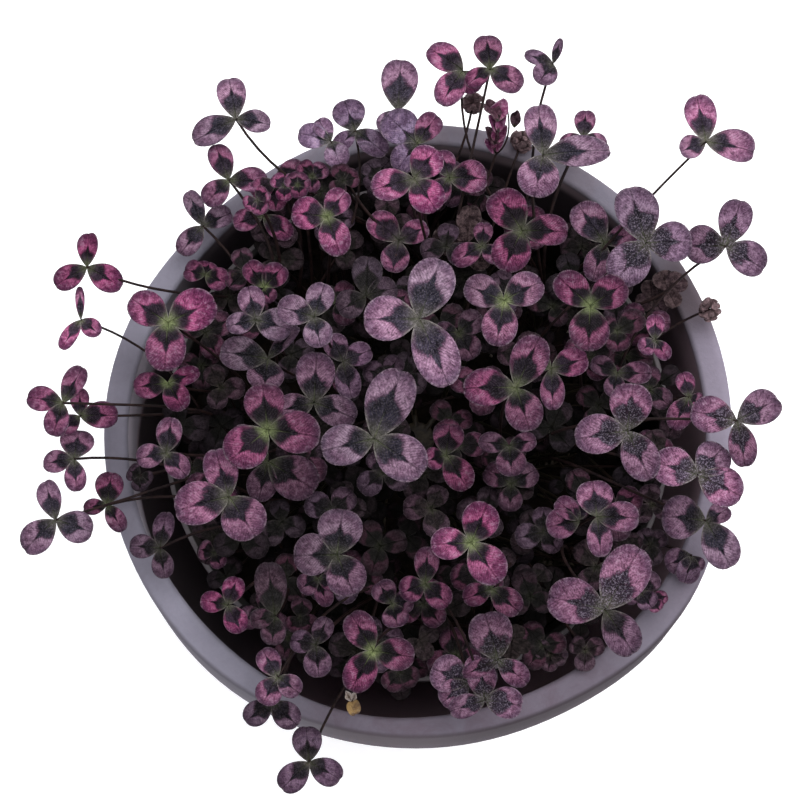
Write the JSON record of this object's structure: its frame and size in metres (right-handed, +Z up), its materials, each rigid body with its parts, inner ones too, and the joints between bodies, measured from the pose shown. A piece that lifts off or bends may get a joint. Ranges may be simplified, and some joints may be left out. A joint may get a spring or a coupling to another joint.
{
  "type": "potted purple-leaved shamrock clover",
  "caption": "Purple-leaved shamrock clover with three-part leaves on thin arching stalks, growing in a nursery pot inside a round tapered planter.",
  "frame": {"origin": "middle of the planter's flat underside", "axes": "+Z up, -Y towards the front of the pot, +X to its right"},
  "size_m": [0.2807, 0.286, 0.2573],
  "materials": {
    "planter": "matt stone grey with a faint lilac cast and mottling",
    "nursery_pot": "thin dark grower's plastic, slightly dusty",
    "soil": "damp crumbly potting compost",
    "stolon": "smooth brown-olive creeping stem",
    "leaf": "soft satin leaf, pink-mauve border round a dark slate blotch",
    "young_leaf": "satin dark red, leaflets still folded",
    "dry_leaf": "dry, papery yellow-brown",
    "spent_flower": "dry brown florets"
  },
  "bodies": {
    "root": {"planter": "planter", "nursery_pot": "nursery_pot", "potting_soil": "soil", "stolons": "stolon", "flower_head_back": "spent_flower", "flower_head_right": "spent_flower", "leaf_01": "leaf", "leaf_02": "leaf", "leaf_03": "leaf", "leaf_04": "leaf", "leaf_05": "leaf", "leaf_06": "leaf", "leaf_07": "leaf", "leaf_08": "leaf", "leaf_09": "leaf", "leaf_10": "leaf", "leaf_11": "leaf", "leaf_12": "leaf", "leaf_13": "leaf", "leaf_14": "leaf", "leaf_15": "leaf", "leaf_16": "leaf", "leaf_17": "leaf", "leaf_18": "leaf", "leaf_19": "leaf", "leaf_20": "leaf", "leaf_21": "leaf", "leaf_22": "leaf", "leaf_23": "leaf", "leaf_24": "leaf", "leaf_25": "leaf", "leaf_26": "leaf", "leaf_27": "leaf", "leaf_28": "leaf", "leaf_29": "leaf", "leaf_30": "leaf", "leaf_31": "leaf", "leaf_32": "leaf", "leaf_33": "leaf", "leaf_34": "leaf", "leaf_35": "leaf", "leaf_36": "leaf", "leaf_37": "leaf", "leaf_38": "leaf", "leaf_39": "leaf", "leaf_40": "leaf", "leaf_41": "leaf", "leaf_42": "leaf", "leaf_43": "leaf", "leaf_44": "leaf", "leaf_45": "leaf", "leaf_46": "leaf", "leaf_47": "leaf", "leaf_48": "leaf", "leaf_49": "leaf", "leaf_50": "leaf", "leaf_51": "leaf", "leaf_52": "leaf", "young_leaf": "young_leaf", "dead_leaf": "dry_leaf"}
  },
  "joints": []
}
